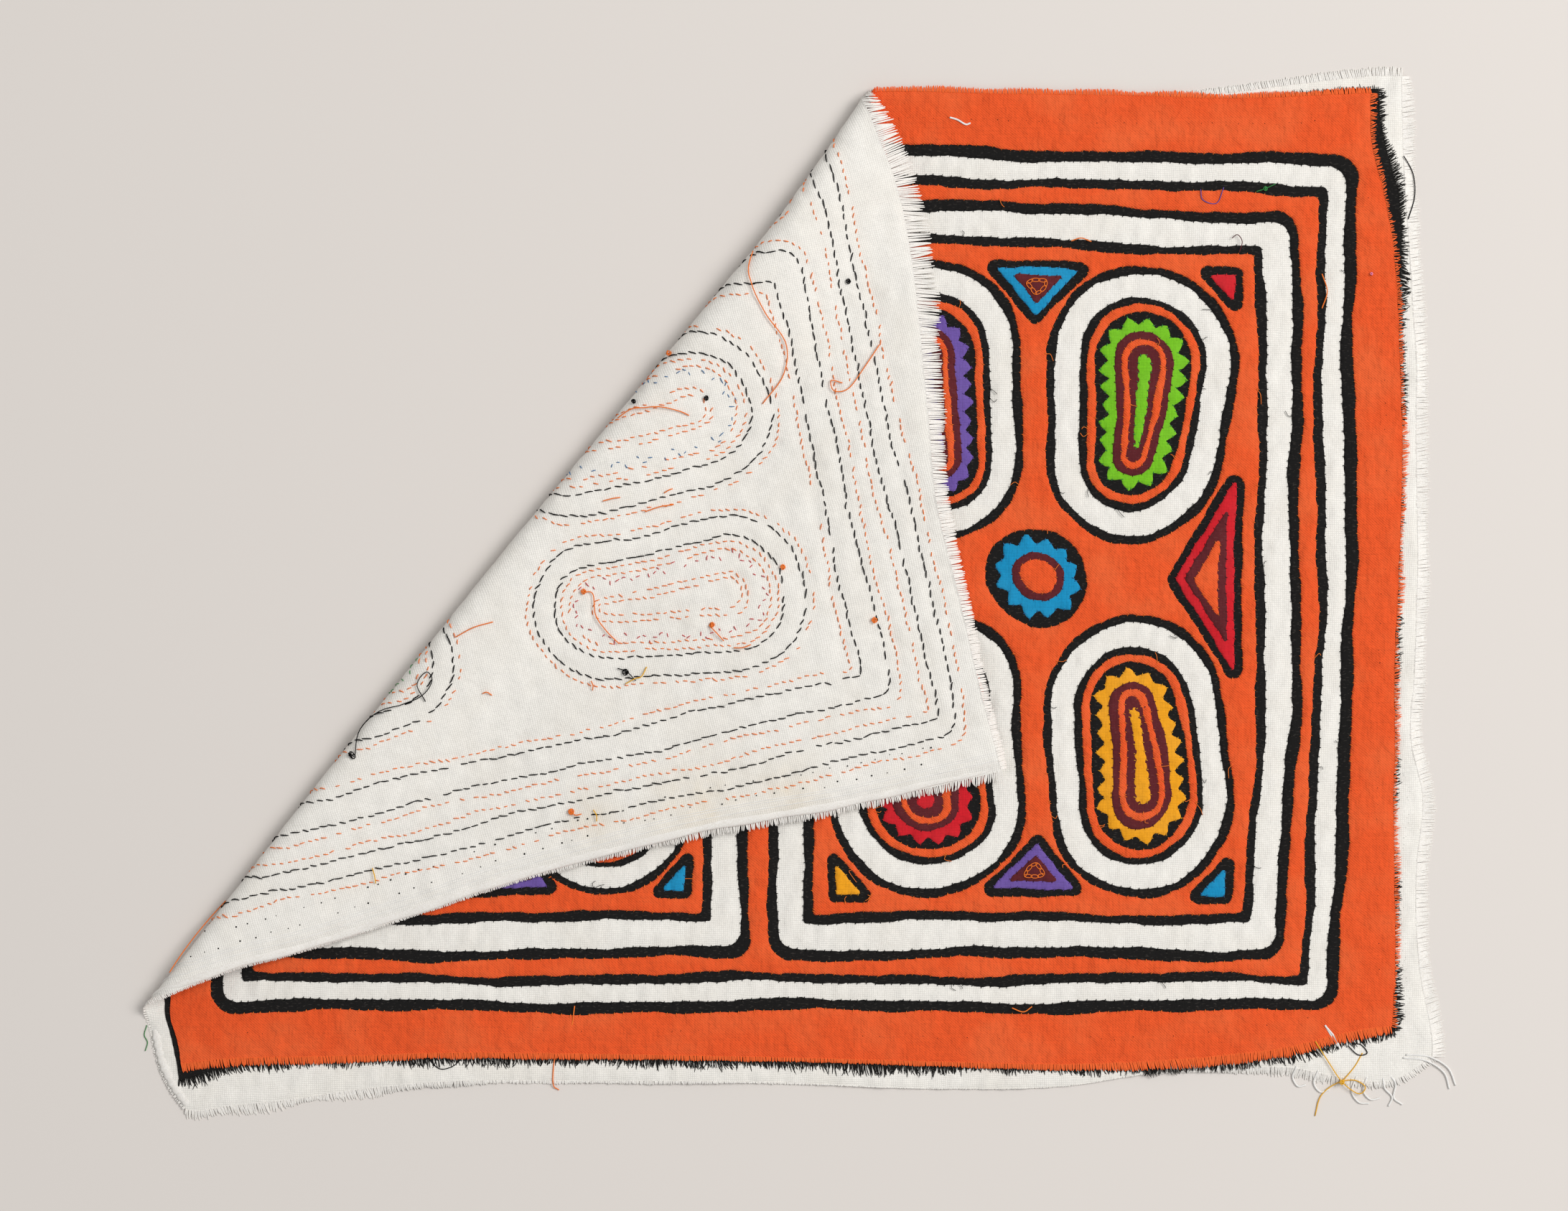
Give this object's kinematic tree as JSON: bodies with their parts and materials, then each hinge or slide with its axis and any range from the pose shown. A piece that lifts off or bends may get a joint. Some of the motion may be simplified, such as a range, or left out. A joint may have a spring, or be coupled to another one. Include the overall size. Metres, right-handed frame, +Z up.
{
  "type": "mola panel",
  "caption": "Layered cut-work cotton panel lying flat, its upper left corner folded over to show the stitched back of the ground cloth; a textile for a blouse front or a wall.",
  "frame": {"origin": "middle of the panel's box, on the surface it lies on", "axes": "+X to the right along the panel's long side, +Y away from the viewer towards its top edge, +Z up out of the face"},
  "size_m": [0.4464, 0.3598, 0.0136],
  "materials": {
    "ivory_cotton": "matt plain weave",
    "black_cotton": "matt plain weave",
    "orange_cotton": "matt fine twill",
    "maroon_cotton": "matt plain weave",
    "green_cotton": "matt plain weave",
    "yellow_cotton": "matt plain weave",
    "red_cotton": "matt plain weave",
    "blue_cotton": "matt plain weave",
    "purple_cotton": "matt plain weave",
    "pink_cotton": "matt plain weave",
    "sewing_thread": "matt cotton thread"
  },
  "bodies": {
    "root": {"ground_cloth": "ivory_cotton", "ground_fringe": "ivory_cotton", "black_border": "black_cotton", "black_frame": "black_cotton", "black_field_left": "black_cotton", "black_field_right": "black_cotton", "orange_border": "orange_cotton", "orange_frame": "orange_cotton", "orange_field_left": "orange_cotton", "orange_field_right": "orange_cotton"}
  },
  "joints": []
}
